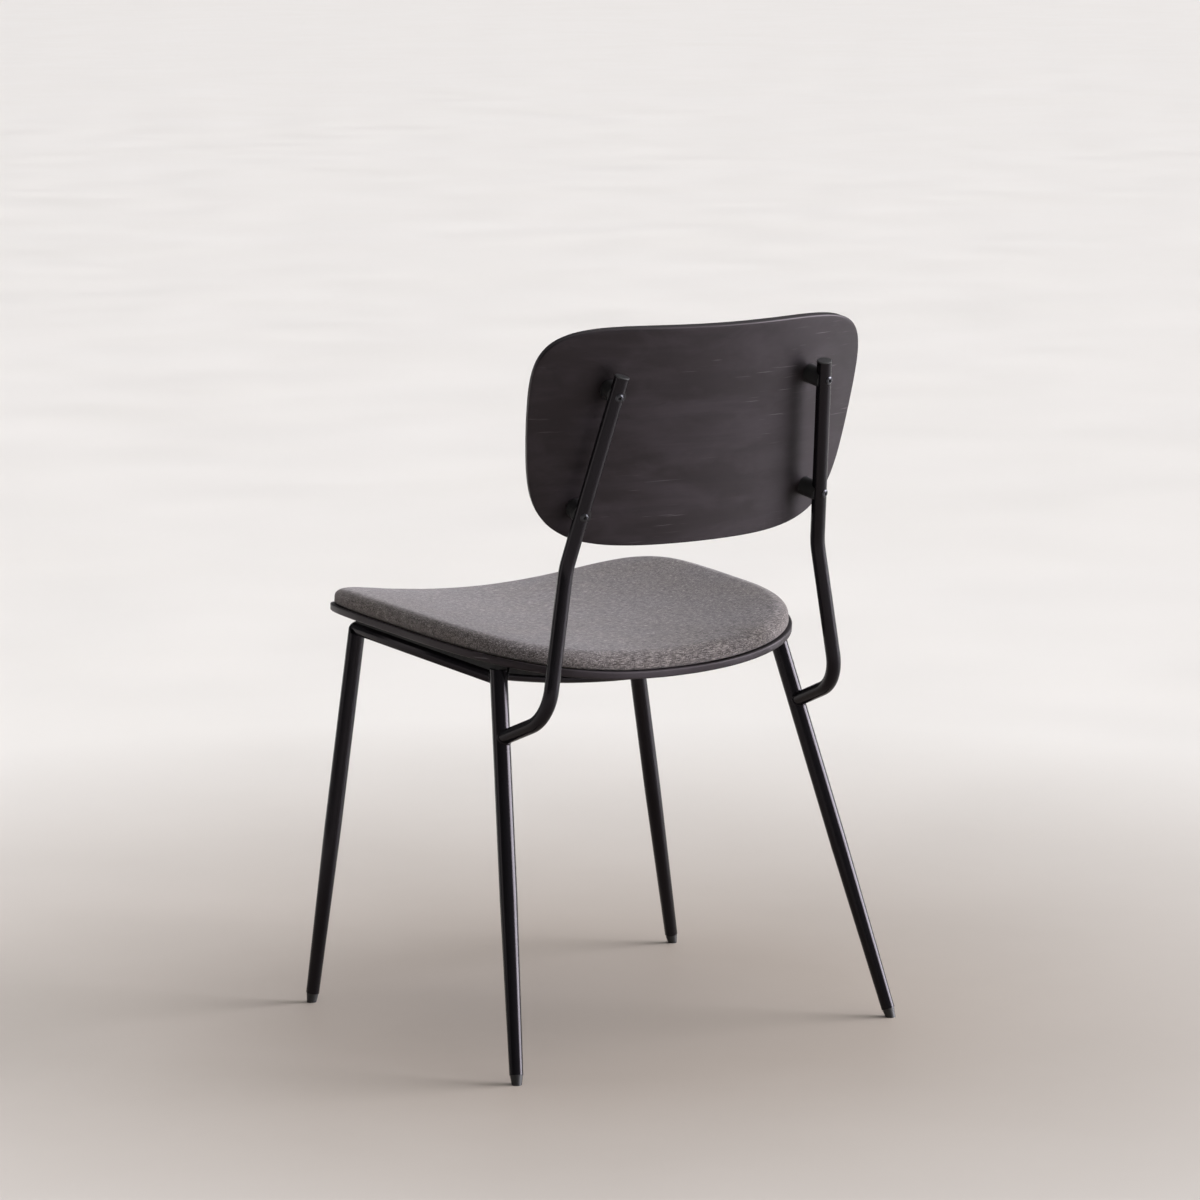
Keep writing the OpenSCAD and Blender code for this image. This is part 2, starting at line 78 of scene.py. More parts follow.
# Seat
SEAT_CENTRE = Vector((0, -0.044, 0.419))
SEAT_FALL = math.radians(2.58)
SEAT_HALF = (0.228, 0.206)
SEAT_CORNERS = (3.1, 4.8)             # exponents of the rear and front corners
SEAT_TAPER = -0.0287                  # the seat is narrower at the back
DISH_R = 0.943                        # side to side curve of the shell's upper face
SHELL_T = 0.0085
SHELL_ROUND = 0.0018                  # rounding of the shell's rim
LEDGE = 0.0032                        # how far the shell shows round the pad
PAD_T = 0.0200
PAD_ROUND = (0.0170, 0.0120)          # how far the pad's upper edge rolls in, and down
PAD_TUCK = (0.0048, 0.0024)           # how far its lower edge tucks in, and up

# Backrest
BACK_CENTRE = Vector((0, 0.2141, 0.670))
BACK_LEAN = math.radians(13.26)
BACK_HALF = (0.2116, 0.1215)
BACK_CORNERS = (5.13, 4.63)           # exponents of the upper and lower corners
BACK_TAPER = 0.0615                   # the backrest is wider at the top
BACK_BELLY = -0.0458                  # its sides bow out between top and bottom
BACK_R = 0.602                        # side to side curve of its middle layer
BACK_T = 0.010
BACK_ROUND = 0.0018                   # rounding of its rim

RIM_STEPS = 288                       # points round a rim

# The pad as inflated cloth
VOXEL = 0.005
CLOTH_FRAMES = 20
HELD_H = 0.006                        # the pad is held on the shell up to this height
PAD_SWELL = 0.0017                    # how far a point of the pad may move
EVEN_STEPS = 24                       # rounds of evening out the cloth's moves
NEAR_POINTS = 10                      # cloth points that move one point of the pad
STILL_H = 0.003                       # the pad keeps its drawn shape up to this height
FREE_H = 0.010                        # and takes the cloth's moves in full from this height


# ---------------------------------------------------------------- camera, light, floor
def aim(obj, target):
    obj.rotation_euler = (target - obj.location).to_track_quat("-Z", "Y").to_euler()


def make_camera():
    azimuth = math.radians(145.616)
    elevation = math.radians(9.473)
    distance = 5.02
    target = Vector((0.0, 0.011, 0.463))
    data = bpy.data.cameras.new("camera")
    data.sensor_width = 36
    data.lens = 137.1
    camera = bpy.data.objects.new("camera", data)
    away = Vector((
        math.sin(azimuth) * math.cos(elevation),
        -math.cos(azimuth) * math.cos(elevation),
        math.sin(elevation),
    ))
    camera.location = target + distance * away
    aim(camera, target)
    bpy.context.scene.collection.objects.link(camera)
    bpy.context.scene.camera = camera


def add_light(name, kind, place, target, energy, colour):
    data = bpy.data.lights.new(name, kind)
    data.energy = energy
    data.color = colour
    light = bpy.data.objects.new(name, data)
    light.location = place
    aim(light, Vector(target))
    bpy.context.scene.collection.objects.link(light)
    return data


def broad_light(name, place, energy, angle, colour):
    """An even source a long way off, which fills the given angle of the view."""
    data = add_light(name, "SUN", place, (0, 0, 0), energy, colour)
    data.angle = math.radians(angle)


def make_lights():
    broad_light("window", (-3.15, 1.64, 0.75), energy=7.7, angle=41, colour=(0.94, 0.93, 1.0))
    broad_light("ceiling", (-1.2, 0.5, 3.0), energy=1.42, angle=75, colour=(1.0, 0.985, 0.97))
    fill_place, seat_middle = (3.4, -1.6, 1.4), (0, 0, 0.45)
    fill = add_light("left_fill", "AREA", fill_place, seat_middle, energy=14, colour=(1.0, 0.97, 0.94))
    fill.shape = "RECTANGLE"
    fill.size, fill.size_y = 1.8, 2.0


def make_room():
    """An even glow all round, brighter on the window's side."""
    window_side = (-0.82, 0.57, 0)
    dim, bright = 0.10, 0.46
    world = bpy.data.worlds.new("soft_room")
    world.use_nodes = True
    nodes, links = world.node_tree.nodes, world.node_tree.links
    side = nodes.new("ShaderNodeVectorMath")
    side.operation = "DOT_PRODUCT"
    side.inputs[1].default_value = window_side
    links.new(nodes.new("ShaderNodeTexCoord").outputs["Generated"], side.inputs[0])
    glow = nodes.new("ShaderNodeMapRange")
    glow.inputs["From Min"].default_value = -1
    glow.inputs["To Min"].default_value = dim
    glow.inputs["To Max"].default_value = bright
    links.new(side.outputs["Value"], glow.inputs["Value"])
    background = nodes["Background"]
    background.inputs["Color"].default_value = (0.97, 0.97, 1.0, 1)
    links.new(glow.outputs["Result"], background.inputs["Strength"])
    bpy.context.scene.world = world
    bpy.context.scene.view_settings.view_transform = "Standard"


def make_floor():
    size = 120
    mesh = bpy.data.meshes.new("floor")
    grid = bmesh.new()
    bmesh.ops.create_grid(grid, x_segments=2, y_segments=2, size=size / 2)
    grid.to_mesh(mesh)
    grid.free()
    floor = bpy.data.objects.new("floor", mesh)
    bpy.context.scene.collection.objects.link(floor)
    mesh.materials.append(floor_material())


# ---------------------------------------------------------------- node helpers
class Tree:
    """A material's node tree, with short calls for the few nodes the materials share."""

    def __init__(self, name):
        self.material = bpy.data.materials.new(name)
        self.material.use_nodes = True
        self.nodes = self.material.node_tree.nodes
        self.links = self.material.node_tree.links
        self.shader = self.nodes["Principled BSDF"]
        self.place = self.nodes.new("ShaderNodeTexCoord").outputs["Object"]

    def set(self, **values):
        """Sets constants on the shader's own inputs."""
        for name, value in values.items():
            self.shader.inputs[name.replace("_", " ")].default_value = value

    def node(self, kind, **inputs):
        made = self.nodes.new(kind)
        for name, value in inputs.items():
            socket = made.inputs[name.replace("_", " ")]
            if isinstance(value, bpy.types.NodeSocket):
                self.links.new(value, socket)
            else:
                socket.default_value = value
        return made

    def scaled(self, scale):
        return self.node("ShaderNodeMapping", Vector=self.place, Scale=scale).outputs["Vector"]

    def noise(self, scale, detail, roughness=0.5, vector=None, distortion=0.0):
        made = self.node(
            "ShaderNodeTexNoise", Vector=vector or self.place, Scale=scale,
            Detail=detail, Roughness=roughness, Distortion=distortion,
        )
        return made.outputs["Fac"]

    def ramp(self, value, *stops):
        made = self.node("ShaderNodeValToRGB", Fac=value)
        elements = made.color_ramp.elements
        while len(elements) < len(stops):
            elements.new(0.5)
        for element, (place, colour) in zip(elements, stops):
            element.position = place
            element.color = (*colour, 1)
        return made.outputs["Color"]

    def grey(self, value, low_at, high_at, low=0.0, high=1.0):
        """A grey that runs from low to high as the value runs from low_at to high_at."""
        return self.ramp(value, (low_at, (low,) * 3), (high_at, (high,) * 3))

    def math(self, operation, a, b):
        made = self.nodes.new("ShaderNodeMath")
        made.operation = operation
        for socket, value in zip(made.inputs, (a, b)):
            if isinstance(value, bpy.types.NodeSocket):
                self.links.new(value, socket)
            else:
                socket.default_value = value
        return made.outputs["Value"]

    def mix(self, factor, a, b, blend="MIX"):
        made = self.nodes.new("ShaderNodeMix")
        made.data_type = "RGBA"
        made.blend_type = blend
        for socket, value in zip((made.inputs[0], made.inputs[6], made.inputs[7]), (factor, a, b)):
            if isinstance(value, bpy.types.NodeSocket):
                self.links.new(value, socket)
            elif socket.type == "RGBA":
                socket.default_value = (*value, 1)
            else:
                socket.default_value = value
        return made.outputs[2]

    def bump(self, height, depth, strength=1.0, normal=None):
        made = self.node("ShaderNodeBump", Height=height, Distance=depth, Strength=strength)
        if normal:
            self.links.new(normal, made.inputs["Normal"])
        return made.outputs["Normal"]

    def link(self, **sockets):
        """Links sockets to the shader's inputs of the same names."""
        for name, socket in sockets.items():
            self.links.new(socket, self.shader.inputs[name.replace("_", " ")])


def floor_material():
    """Pale concrete, taupe round the chair and near-white in the distance."""
    reach = 10                            # metres
    near_end, far_start = 0.03, 0.17      # the floor turns pale between these shares of the reach
    tree = Tree("pale_floor")
    distance = tree.node("ShaderNodeVectorMath", Vector=tree.place)
    distance.operation = "LENGTH"
    cloud = tree.noise(1.3, 5, 0.55)
    near = tree.ramp(cloud, (0.3, (0.375, 0.325, 0.280)), (0.7, (0.415, 0.365, 0.318)))
    far = tree.ramp(cloud, (0.3, (0.800, 0.776, 0.730)), (0.7, (0.815, 0.792, 0.750)))
    spread = tree.grey(tree.math("DIVIDE", distance.outputs["Value"], reach), near_end, far_start)
    tree.link(
        Base_Color=tree.mix(spread, near, far),
        Roughness=tree.grey(tree.noise(3, 4), 0.3, 0.7, 0.42, 0.55),
    )
    tree.set(Specular_IOR_Level=0.4)
    return tree.material


def powder_coat():
    """Satin black powder coat: a faint orange peel, with sheen that varies from place to place."""
    tree = Tree("powder_coat")
    patches = tree.noise(14, 3)
    colour = tree.ramp(patches, (0.3, (0.0027, 0.0024, 0.0031)), (0.7, (0.0041, 0.0037, 0.0048)))
    peel = tree.noise(1500, 2, 0.6)
    grit = tree.noise(5200, 1, 0.5)
    tree.link(
        Base_Color=colour,
        Roughness=tree.grey(tree.noise(60, 4), 0.3, 0.7, 0.17, 0.24),
        Normal=tree.bump(tree.mix(0.35, peel, grit), 0.00005, 0.4),
    )
    tree.set(Specular_IOR_Level=0.20, Specular_Tint=(1.0, 0.90, 0.98, 1))
    return tree.material


def matte_plastic(name, shade, rough):
    """Plastic, rubber or foam with a faintly speckled, uneven face."""
    tree = Tree(name)
    tint = tree.noise(40, 3)
    low = (shade * 0.85,) * 3
    high = (shade * 1.15, shade * 1.13, shade * 1.17)
    tree.link(
        Base_Color=tree.ramp(tint, (0.3, low), (0.7, high)),
        Roughness=tree.grey(tree.noise(220, 3), 0.3, 0.7, rough - 0.05, rough + 0.06),
        Normal=tree.bump(tree.noise(2600, 2, 0.6), 0.00005, 0.5),
    )
    return tree.material


def black_plywood():
    """Black-stained plywood: faint grain along the sheet, dull clouds, a few pale scratches."""
    tree = Tree("black_plywood")
    clouds = tree.noise(1.0, 4, 0.55, tree.scaled((6, 14, 22)), 0.8)
    grain = tree.noise(1.0, 7, 0.62, tree.scaled((4, 45, 120)), 0.5)
    fine = tree.noise(1.0, 5, 0.6, tree.scaled((30, 300, 1300)))
    colour = tree.ramp(clouds, (0.34, (0.0022, 0.0014, 0.0014)), (0.50, (0.0044, 0.0031, 0.0033)),
                       (0.66, (0.0110, 0.0086, 0.0099)))
    shade = tree.ramp(grain, (0.38, (0.62, 0.61, 0.62)), (0.62, (1.30, 1.30, 1.31)))
    colour = tree.mix(1.0, colour, shade, "MULTIPLY")
    streaks = tree.grey(tree.noise(1.0, 2, 0.5, tree.scaled((16, 40, 520))), 0.66, 0.74)
    where = tree.grey(tree.noise(1.0, 2, 0.5, tree.scaled((7, 12, 16))), 0.50, 0.62)
    scratched = tree.math("MULTIPLY", streaks, where)
    colour = tree.mix(tree.math("MULTIPLY", scratched, 0.70), colour, (0.090, 0.080, 0.086))
    scuffs = tree.grey(tree.noise(1.0, 4, 0.6, tree.scaled((14, 26, 34)), 0.4), 0.48, 0.66)
    colour = tree.mix(tree.math("MULTIPLY", scuffs, 0.50), colour, (0.0180, 0.0146, 0.0170))
    knots = tree.grey(tree.noise(1.0, 3, 0.6, tree.scaled((22, 30, 34)), 0.8), 0.62, 0.72)
    colour = tree.mix(tree.math("MULTIPLY", knots, 0.7), colour, (0.0020, 0.0014, 0.0014))
    cloud_rough = tree.grey(clouds, 0.36, 0.64, 0.37, 0.49)
    rough = tree.math("ADD", cloud_rough, tree.grey(grain, 0.3, 0.7, 0.0, 0.07))
    relief = tree.bump(fine, 0.00004, 0.5, tree.bump(grain, 0.00014, 0.5))
    tree.link(Base_Color=colour, Roughness=rough, Normal=relief)
    tree.set(Specular_IOR_Level=0.32, Specular_Tint=(1.0, 0.86, 0.93, 1))
    return tree.material


def raw_plywood():
    """Bare plywood, seen only on the pad's hidden board."""
    tree = Tree("raw_plywood")
    grain = tree.noise(1.0, 7, 0.6, tree.scaled((6, 160, 160)))
    tree.link(
        Base_Color=tree.ramp(grain, (0.3, (0.42, 0.28, 0.15)), (0.7, (0.62, 0.46, 0.28))),
        Normal=tree.bump(grain, 0.0001, 0.5),
    )
    tree.set(Roughness=0.7)
    return tree.material


def metal(name, colour, rough):
    """Plated or blackened metal with fine wear."""
    tree = Tree(name)
    wear = tree.noise(300, 4)
    dark = tuple(c * 0.8 for c in colour)
    tree.link(
        Base_Color=tree.ramp(wear, (0.3, dark), (0.7, colour)),
        Roughness=tree.grey(tree.noise(900, 3), 0.3, 0.7, rough - 0.06, rough + 0.08),
        Normal=tree.bump(tree.noise(2400, 2), 0.00004, 0.4),
    )
    tree.set(Metallic=1.0)
    return tree.material


def grey_melange():
    """Grey melange upholstery cloth: a plain weave of yarns that change from dark to pale grey."""
    tree = Tree("grey_melange")
    across = 1150                     # one yarn in the weave, per metre
    weft = tree.noise(1.0, 2, 0.55, tree.scaled((170, across, 1500)))
    warp = tree.noise(1.0, 2, 0.55, tree.scaled((across, 170, 330)))
    over = tree.noise(1.0, 1, 0.5, tree.scaled((700, 700, 900)))
    yarn = tree.mix(tree.grey(over, 0.54, 0.62), weft, warp)
    colour = tree.ramp(yarn, (0.36, (0.040, 0.035, 0.034)), (0.46, (0.081, 0.072, 0.070)),
                       (0.55, (0.129, 0.117, 0.113)), (0.66, (0.255, 0.235, 0.228)))
    slubs = tree.grey(tree.noise(1.0, 3, 0.62, tree.scaled((190, 130, 330))), 0.34, 0.66, 0.76, 1.26)
    colour = tree.mix(1.0, colour, slubs, "MULTIPLY")
    patches = tree.noise(14, 3, 0.5)
    warmth = tree.ramp(patches, (0.35, (1.0, 0.965, 0.93)), (0.65, (0.97, 0.955, 0.975)))
    colour = tree.mix(1.0, colour, warmth, "MULTIPLY")
    fuzz = tree.noise(3200, 3, 0.7)
    relief = tree.bump(fuzz, 0.00008, 0.4, tree.bump(yarn, 0.00010, 0.4))
    tree.link(Base_Color=colour, Normal=relief)
    tree.set(Roughness=0.92, Sheen_Weight=0.22, Sheen_Roughness=0.45, Specular_IOR_Level=0.15,
             Sheen_Tint=(0.95, 0.92, 0.93, 1))
    return tree.material


# ---------------------------------------------------------------- shapes
def signed_pow(value, exponent):
    return math.copysign(abs(value) ** exponent, value)


def outline_point(t, half, corners, taper, belly):
    """A point of a rounded outline, as in the CAD: corners holds the far and near exponents."""
    exponent = 2 / (corners[0] if math.sin(t) >= 0 else corners[1])
    px = signed_pow(math.cos(t), exponent)
    py = signed_pow(math.sin(t), exponent)
    return half[0] * px * (1 + taper * py + belly * py * py), half[1] * py


def even_turns(half, corners, taper, belly):
    """Parameter values that space RIM_STEPS points evenly along an outline."""
    fine = 20000
    turns = [math.tau * i / fine for i in range(fine + 1)]
    points = [outline_point(t, half, corners, taper, belly) for t in turns]
    lengths = [0.0]
    for a, b in zip(points, points[1:]):
        lengths.append(lengths[-1] + math.dist(a, b))
    found, at = [], 0
    for step in range(RIM_STEPS):
        wanted = lengths[-1] * step / RIM_STEPS
        while lengths[at + 1] < wanted:
            at += 1
        share = (wanted - lengths[at]) / (lengths[at + 1] - lengths[at])
        found.append(turns[at] + share * (turns[at + 1] - turns[at]))
    return found


def quarter(centre, radii, start, stop, steps=6):
    """Points of an elliptical arc as (inset, height) pairs; angles in quarter turns."""
    points = []
    for i in range(steps + 1):
        angle = math.pi / 2 * (start + (stop - start) * i / steps)
        points.append((centre[0] + radii[0] * math.cos(angle), centre[1] + radii[1] * math.sin(angle)))
    return points


def lofted(name, half, corners, taper, belly, profile, place, fill_steps=14):
    """A closed sheet: rings of the outline, each at an (inset, height) of the profile.

    The first and last rings are filled with ever smaller rings down to a centre point.
    place(x, y, height) gives the point in the CAD frame.
    """
    turns = even_turns(half, corners, taper, belly)

    def ring(inset, height, share=1.0):
        size = (half[0] - inset, half[1] - inset)
        flat = [outline_point(t, size, corners, taper, belly) for t in turns]
        return [place(x * share, y * share, height) for x, y in flat]

    shares = [1 - i / fill_steps for i in range(1, fill_steps)]
    first, last = profile[0], profile[-1]
    rings = [ring(*first, share) for share in reversed(shares)]
    rings += [ring(*step) for step in profile]
    rings += [ring(*last, share) for share in shares]
    vertices = [place(0, 0, first[1])]
    for points in rings:
        vertices += points
    vertices.append(place(0, 0, last[1]))
    faces = []
    for i in range(RIM_STEPS):
        j = (i + 1) % RIM_STEPS
        faces.append((0, 1 + j, 1 + i))
        for r in range(len(rings) - 1):
            low, high = 1 + r * RIM_STEPS, 1 + (r + 1) * RIM_STEPS
            faces.append((low + i, low + j, high + j, high + i))
        top = 1 + (len(rings) - 1) * RIM_STEPS
        faces.append((top + i, top + j, len(vertices) - 1))
    return mesh_object(name, vertices, faces)


def mesh_object(name, vertices, faces):
    mesh = bpy.data.meshes.new(name)
    mesh.from_pydata([tuple(v) for v in vertices], [], faces)
    mesh.update()
    whole = bmesh.new()
    whole.from_mesh(mesh)
    bmesh.ops.recalc_face_normals(whole, faces=whole.faces)
    whole.to_mesh(mesh)
    whole.free()
    mesh.shade_smooth()
    made = bpy.data.objects.new(name, mesh)
    bpy.context.scene.collection.objects.link(made)
    return made


def on_dish(x, y, height):
    """A point of the seat, from its flat outline and its height above the shell's upper face."""
    rise = DISH_R - math.sqrt(DISH_R ** 2 - x * x)
    stretch = DISH_R / math.sqrt(DISH_R ** 2 - x * x)
    local = Vector((x, y, rise + height * stretch))
    return SEAT_CENTRE + Matrix.Rotation(-SEAT_FALL, 3, "X") @ local


def on_back(u, v, out):
    """A point of the backrest: u along its curve, v up its face, out behind its mid surface."""
    angle = u / BACK_R
    reach = BACK_R + out
    local = Vector((reach * math.sin(angle), reach * math.cos(angle) - BACK_R, v))
    return BACK_CENTRE + Matrix.Rotation(-BACK_LEAN, 3, "X") @ local


def rounded_rim(thickness, radius, low):
    """Profile of a sheet's rim, from its lower face round to its upper one."""
    high = low + thickness
    lower = quarter((radius, low + radius), (radius, radius), 3, 2)
    upper = quarter((radius, high - radius), (radius, radius), 2, 1)
    return [(3 * radius, low), *lower, *upper, (3 * radius, high)]


def make_seat_shell():
    profile = rounded_rim(SHELL_T, SHELL_ROUND, -SHELL_T)
    shell = lofted("seat_shell_rounded", SEAT_HALF, SEAT_CORNERS, SEAT_TAPER, 0, profile, on_dish)
    finish_piece(shell, "black_plywood", "seat_shell")


def make_backrest():
    profile = rounded_rim(BACK_T, BACK_ROUND, -BACK_T / 2)
    panel = lofted("backrest_rounded", BACK_HALF, BACK_CORNERS, BACK_TAPER, BACK_BELLY, profile, on_back)
    finish_piece(panel, "black_plywood", "backrest_panel")


def make_pad():
    base = 0.0003                         # clear of the shell
    wall = LEDGE + 0.0004                 # widest part, before the cloth swells it
    shoulder = PAD_T - PAD_ROUND[1]
    flat_rings = (0.014, 0.008)           # insets of the underside's outer rings, from the ledge
    profile = [(LEDGE + inset, base) for inset in flat_rings]
    profile += quarter((wall + PAD_TUCK[0], base + PAD_TUCK[1]), PAD_TUCK, 3, 2, 5)
    profile += quarter((wall + PAD_ROUND[0], shoulder), PAD_ROUND, 2, 1, 10)
    pad = lofted("seat_cushion", SEAT_HALF, SEAT_CORNERS, SEAT_TAPER, 0, profile, on_dish, fill_steps=26)
    inflate(pad)
    finish_piece(pad, "grey_fabric", "seat_cover", "seat_foam")


def inflate(pad):
    """Swells the pad as pressurised cloth, with its underside held on the shell.

    The cloth is an even copy of the pad; its moves, evened out, are then given to the pad.
    """
    blur = 0.001                          # keeps a point's nearest neighbour from ruling alone
    skin, start = even_copy(pad)
    simulate_cloth(skin, [i for i, p in enumerate(start) if height_on_shell(p) < HELD_H])
    moves = [v.co - home for v, home in zip(skin.data.vertices, start)]
    moves = [m * min(1, PAD_SWELL / max(m.length, PAD_SWELL)) for m in moves]
    for _ in range(EVEN_STEPS):
        moves = evened(moves, skin.data.edges)
    near = KDTree(len(start))
    for i, home in enumerate(start):
        near.insert(home, i)
    near.balance()
    for v in pad.data.vertices:
        around = [(i, 1 / (reach + blur)) for _, i, reach in near.find_n(v.co, NEAR_POINTS)]
        move = sum((moves[i] * weight for i, weight in around), Vector()) / sum(w for _, w in around)
        share = min(max((height_on_shell(v.co) - STILL_H) / (FREE_H - STILL_H), 0), 1)
        v.co += share * move
    bpy.data.objects.remove(skin)
    pad.data.shade_smooth()


def even_copy(pad):
    """A copy of the pad in even cells that lie on its surface, and where its points start."""
    drawn = BVHTree.FromPolygons(
        [v.co.copy() for v in pad.data.vertices],
        [tuple(face.vertices) for face in pad.data.polygons],
    )
    skin = bpy.data.objects.new("pad_skin", pad.data.copy())
    bpy.context.scene.collection.objects.link(skin)
    remesh = skin.modifiers.new("remesh", "REMESH")
    remesh.mode = "VOXEL"
    remesh.voxel_size = VOXEL
    apply_modifiers(skin)
    for v in skin.data.vertices:
        v.co = drawn.find_nearest(v.co)[0]
    return skin, [v.co.copy() for v in skin.data.vertices]


def simulate_cloth(skin, held_points):
    held = skin.vertex_groups.new(name="held")
    held.add(held_points, 1.0, "REPLACE")
    cloth = skin.modifiers.new("cloth", "CLOTH")
    cloth.settings.use_pressure = True
    cloth.settings.uniform_pressure_force = 4
    cloth.settings.vertex_group_mass = "held"
    cloth.settings.effector_weights.gravity = 0
    cloth.settings.tension_stiffness = 40
    cloth.settings.compression_stiffness = 40
    cloth.settings.shear_stiffness = 20
    cloth.settings.bending_stiffness = 5
    cloth.point_cache.frame_end = CLOTH_FRAMES
    for number in range(1, CLOTH_FRAMES + 1):
        bpy.context.scene.frame_set(number)
    apply_modifiers(skin)
    bpy.context.scene.frame_set(1)


def evened(moves, edges):
    """Each point's move, averaged with those of its neighbours."""
    sums = [m.copy() for m in moves]
    counts = [1] * len(moves)
    for a, b in (edge.vertices for edge in edges):
        sums[a] += moves[b]
        sums[b] += moves[a]
        counts[a] += 1
        counts[b] += 1
    return [total / count for total, count in zip(sums, counts)]


def height_on_shell(point):
    """Height of a point above the shell's upper face."""
    local = Matrix.Rotation(SEAT_FALL, 3, "X") @ (point - SEAT_CENTRE)
    return local.z - (DISH_R - math.sqrt(DISH_R ** 2 - local.x ** 2))


def apply_modifiers(obj):
    depsgraph = bpy.context.evaluated_depsgraph_get()
    depsgraph.update()
    baked = bpy.data.meshes.new_from_object(obj.evaluated_get(depsgraph), depsgraph=depsgraph)
    obj.modifiers.clear()
    obj.data = baked


# ---------------------------------------------------------------- frame lines
def leg_axis(side, end):
    """Foot point and upward direction of a leg."""
    foot = Vector((SIDES[side] * FOOT_X, FOOT_Y[end], 0))
    up = Vector((
        -SIDES[side] * math.sin(LEAN_IN) * math.cos(RAKE[end]),
        -math.sin(RAKE[end]),
        math.cos(LEAN_IN) * math.cos(RAKE[end]),
    ))
    return foot, up


def side_plane(side, u, w, lean):
    """The step u back and w up within a plane that leans in."""
    return Vector((-SIDES[side] * w * math.sin(lean), u, w * math.cos(lean)))


def frame_corner(side):
    """Where the axes of a front leg and its side rail meet."""
    in_plane = side_plane(side, FOOT_Y["front"], RAIL_FRONT_W, LEAN_IN)
    return Vector((SIDES[side] * FOOT_X, 0, 0)) + in_plane


# ---------------------------------------------------------------- weld beads
def weld_ring(name, start, direction, radius, leg):
    """A bead where a tube, running from start along direction, meets a leg."""
    steps = 72
    foot, up = leg
    direction = direction.normalized()
    across = direction.orthogonal().normalized()
    other = direction.cross(across)
    path = []
    for i in range(steps):
        angle = math.tau * i / steps
        p = start + radius * (math.cos(angle) * across + math.sin(angle) * other)
        q = p - foot
        a = direction - up * direction.dot(up)
        b = q - up * q.dot(up)
        half_b = a.dot(b)
        gap = half_b * half_b - a.dot(a) * (b.dot(b) - LEG_R ** 2)
        t = (-half_b - math.sqrt(max(gap, 0))) / a.dot(a)
        path.append(p + direction * t)
    return bead(name, path)


def bead(name, path):
    """A closed rounded bead along a path, with the soft ripple of a coated weld."""
    waves, wave_size = 12, 0.10           # waves round the bead, and their size as a share of its own
    grain_step, grain_size = 2.7, 0.06    # a finer ripple that never repeats
    sides = 10
    count = len(path)
    centre = sum(path, Vector()) / count
    vertices, faces = [], []
    for i, p in enumerate(path):
        tangent = (path[(i + 1) % count] - path[i - 1]).normalized()
        out = p - centre
        out = (out - tangent * out.dot(tangent)).normalized()
        side = tangent.cross(out)
        ripple = wave_size * math.sin(i * math.tau * waves / count) + grain_size * math.sin(i * grain_step)
        size = BEAD_R * (1 + ripple)
        for k in range(sides):
            angle = math.tau * k / sides
            vertices.append(p + size * (math.cos(angle) * out + math.sin(angle) * side))
    for i in range(count):
        for k in range(sides):
            a, b = i * sides, ((i + 1) % count) * sides
            faces.append((a + k, a + (k + 1) % sides, b + (k + 1) % sides, b + k))
    finish_piece(mesh_object(name, vertices, faces), "powder_coat")


def make_welds():
    arm_start, cross_start = 0.05, 0.04   # how far from the leg's axis a ring starts
    for side in SIDES:
        rear = leg_axis(side, "rear")
        weld = rear[0] + WELD_S * rear[1]
        arm = side_plane(side, math.cos(ARM_RISE), math.sin(ARM_RISE), UPRIGHT_LEAN)
        weld_ring(f"weld_upright_{side}", weld + arm_start * arm, -arm, RAIL_R, rear)
        run = side_plane(side, math.cos(RAIL_FALL), -math.sin(RAIL_FALL), LEAN_IN)
        weld_ring(f"weld_rail_{side}", frame_corner(side), run, RAIL_R, rear)
        inner = rear[0] + REAR_RAIL_S * rear[1]
        slope = math.asin(abs(inner.x) / (DISH_R + SHELL_T))
        cross_run = Vector((SIDES[side] * math.cos(slope), 0, math.sin(slope)))
        weld_ring(f"weld_cross_{side}", inner - cross_start * cross_run, cross_run, CROSS_R, rear)


# ---------------------------------------------------------------- front legs and side rails
def swept_tube(name, stations):
    """A round bar through (centre, direction, radius) stations, closed by flat ends."""
    sides = 48
    vertices, faces = [], []
    for centre, direction, radius in stations:
        across = direction.cross(Vector((1, 0, 0))).normalized()
        other = direction.cross(across).normalized()
        for k in range(sides):
            angle = math.tau * k / sides
            vertices.append(centre + radius * (math.cos(angle) * across + math.sin(angle) * other))
    for i in range(len(stations) - 1):
        for k in range(sides):
            a, b = i * sides + k, i * sides + (k + 1) % sides
            faces.append((a, b, b + sides, a + sides))
    faces.append(tuple(range(sides)))
    faces.append(tuple(range(len(vertices) - sides, len(vertices))))
    return mesh_object(name, vertices, faces)


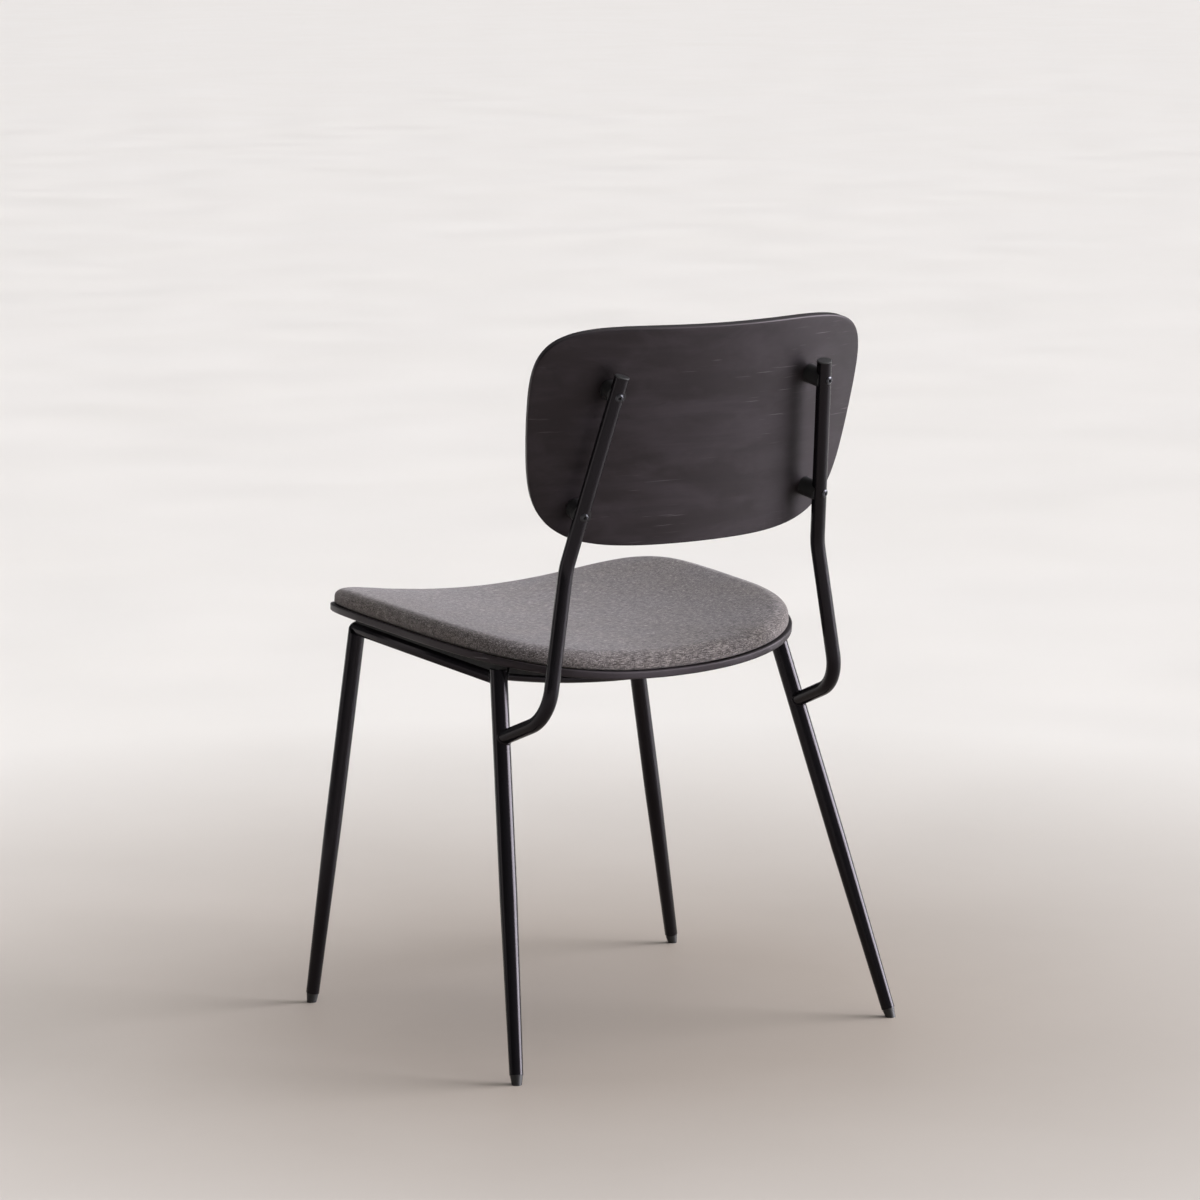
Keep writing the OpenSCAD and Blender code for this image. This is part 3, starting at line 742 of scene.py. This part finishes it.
def make_front_corner(side):
    """Front leg and side rail, their mitred corner ground round."""
    lip = 0.0006                          # bevel at the leg's lower end
    straight = 0.006                      # from the leg's last full ring to the bend
    overlap, slimmer = 0.004, 0.00002     # the leg's end runs on inside the rail
    nose, nose_slimmer = 0.003, 0.0001    # the rail's own end, drawn in where the leg's meets it
    foot, up = leg_axis(side, "front")
    corner = frame_corner(side)
    run = side_plane(side, math.cos(RAIL_FALL), -math.sin(RAIL_FALL), LEAN_IN)
    turn = up.angle(run)
    setback = CORNER_R * math.tan(turn / 2)
    centre = corner - setback * up + CORNER_R * (run - run.dot(up) * up).normalized()
    leg = [(foot + up * GLIDE_H, up, LEG_FOOT_R - lip), (foot + up * (GLIDE_H + lip), up, LEG_FOOT_R)]
    leg += [(foot + up * TAPER_TOP, up, LEG_R), (corner - (setback + straight) * up, up, LEG_R)]
    steps = 12
    outward = (corner - setback * up - centre).normalized()
    for i in range(steps + 1):
        share = i / steps
        angle = turn * share
        place = centre + CORNER_R * (math.cos(angle) * outward + math.sin(angle) * up)
        heading = (math.cos(angle) * up - math.sin(angle) * outward).normalized()
        eased = share * share * (3 - 2 * share)
        leg.append((place, heading, LEG_R + eased * (RAIL_R - LEG_R)))
    leg.append((leg[-1][0] + overlap * run, run, RAIL_R - slimmer))
    finish_piece(swept_tube(f"front_leg_{side}", leg), "powder_coat", f"leg_front_{side}")
    rail = [
        (corner + setback * run, run, RAIL_R - nose_slimmer),
        (corner + (setback + nose) * run, run, RAIL_R),
        (corner + RAIL_LEN * run, run, RAIL_R),
    ]
    finish_piece(swept_tube(f"seat_rail_{side}", rail), "powder_coat", f"side_rail_{side}")


# ---------------------------------------------------------------- finishes
def finish_piece(piece, slot, *replaced):
    piece.data.materials.clear()
    piece.data.materials.append(FINISHES[slot])
    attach(piece, "root")
    if replaced:
        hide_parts(*replaced)


def dress_cad_nodes():
    slots = {row["node"]: row["material_slot"] for row in frame["record"]["subparts"]}
    for name, node in NODES.items():
        material = FINISHES[slots[name]]
        if node.material_slots:
            for holder in node.material_slots:
                holder.material = material
        else:
            node.data.materials.append(material)


FINISHES = {
    "powder_coat": powder_coat(),
    "black_plastic": matte_plastic("black_plastic", shade=0.0085, rough=0.50),
    "black_rubber": matte_plastic("black_rubber", shade=0.008, rough=0.78),
    "black_plywood": black_plywood(),
    "raw_plywood": raw_plywood(),
    "foam": matte_plastic("foam", shade=0.62, rough=0.85),
    "grey_fabric": grey_melange(),
    "black_screw": metal("black_screw", (0.050, 0.050, 0.055), rough=0.30),
    "zinc_steel": metal("zinc_steel", (0.58, 0.58, 0.60), rough=0.35),
    "brass_insert": metal("brass_insert", (0.68, 0.52, 0.25), rough=0.35),
}

make_camera()
make_lights()
make_room()
make_floor()
dress_cad_nodes()
make_seat_shell()
make_backrest()
make_pad()
for side in SIDES:
    make_front_corner(side)
make_welds()
